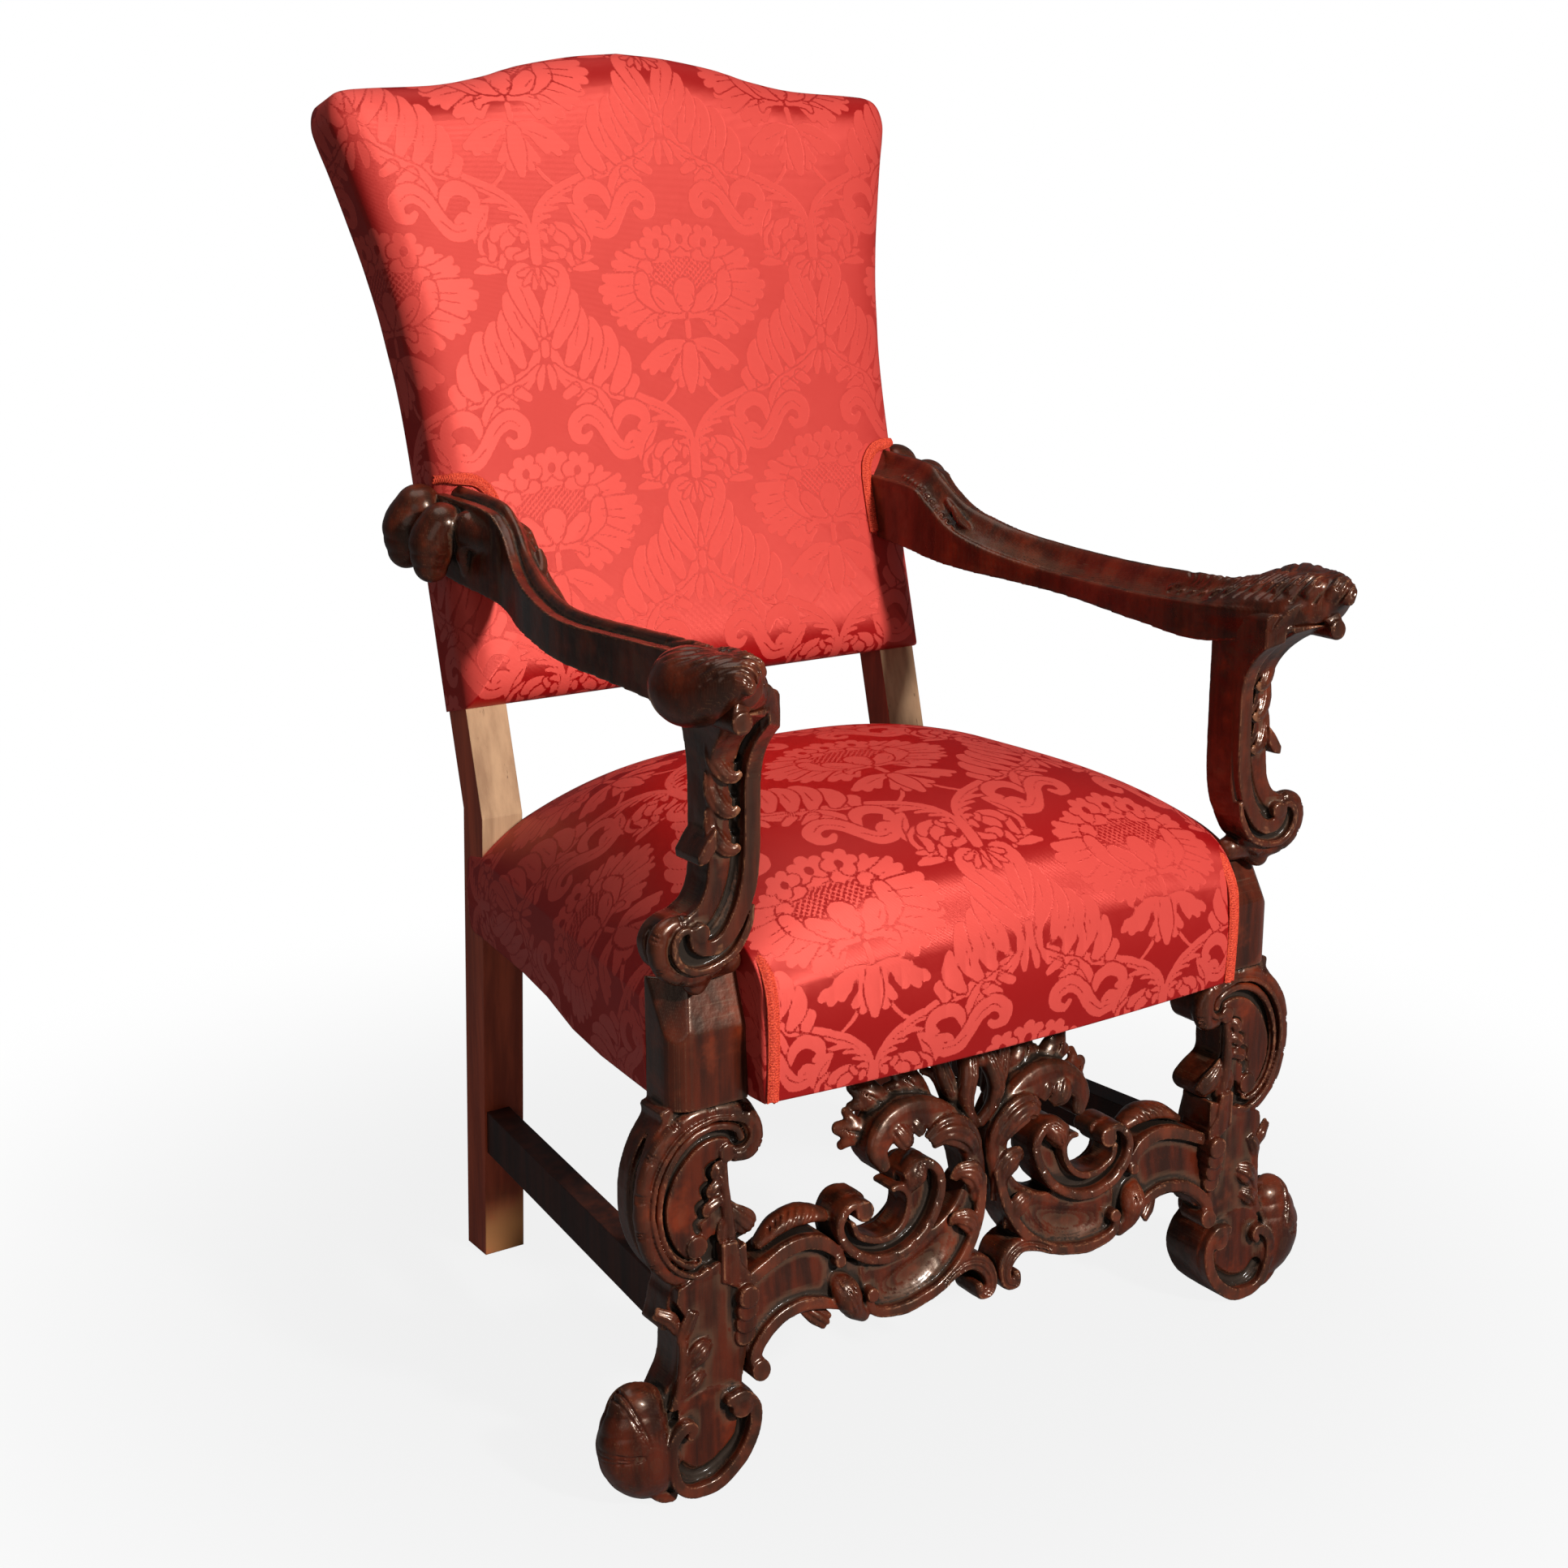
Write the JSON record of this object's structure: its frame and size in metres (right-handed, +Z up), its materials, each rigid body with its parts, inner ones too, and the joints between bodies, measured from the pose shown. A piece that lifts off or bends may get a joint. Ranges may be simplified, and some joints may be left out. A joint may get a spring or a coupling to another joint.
{
  "type": "high-back armchair",
  "caption": "High-back armchair with carved scroll legs and arms, a pierced scrollwork front stretcher, and a domed seat and camel-topped back in red damask.",
  "frame": {"origin": "on the floor, under the middle of the chair's box", "axes": "+Z up, -Y towards the sitter's front, +X to the right as seen from the front"},
  "size_m": [0.778, 0.7598, 1.1551],
  "materials": {
    "carved_walnut": "waxed, worn at the edges",
    "frame_beech": "bare sawn",
    "red_damask": "satin damask weave",
    "jute_webbing": "coarse weave",
    "hessian": "coarse open weave",
    "hair_stuffing": "matted hair",
    "gimp_braid": "looped braid",
    "blued_iron": "blued",
    "screw_steel": "dull"
  },
  "bodies": {
    "root": {"arm_gimp_left": "gimp_braid", "arm_gimp_right": "gimp_braid", "arm_left": "carved_walnut", "arm_right": "carved_walnut", "arm_screws": "screw_steel", "back_cover": "red_damask", "back_hessian": "hessian", "back_stuffing": "hair_stuffing", "back_webbing": "jute_webbing", "corner_block_front_left": "frame_beech", "corner_block_front_right": "frame_beech", "corner_block_rear_left": "frame_beech", "corner_block_rear_right": "frame_beech", "crest_rail": "frame_beech", "front_post_left": "carved_walnut", "front_post_right": "carved_walnut", "front_stretcher": "carved_walnut", "lower_back_rail": "frame_beech", "outside_back_cover": "red_damask", "rear_post_left": "carved_walnut", "rear_post_right": "carved_walnut", "seat_cover": "red_damask", "seat_gimp_left": "gimp_braid", "seat_gimp_right": "gimp_braid", "seat_hessian": "hessian", "seat_rail_front": "frame_beech", "seat_rail_left": "frame_beech", "seat_rail_rear": "frame_beech", "seat_rail_right": "frame_beech", "seat_stuffing": "hair_stuffing", "seat_tacks": "blued_iron", "seat_webbing": "jute_webbing", "side_stretcher_left": "carved_walnut", "side_stretcher_right": "carved_walnut"}
  },
  "joints": []
}
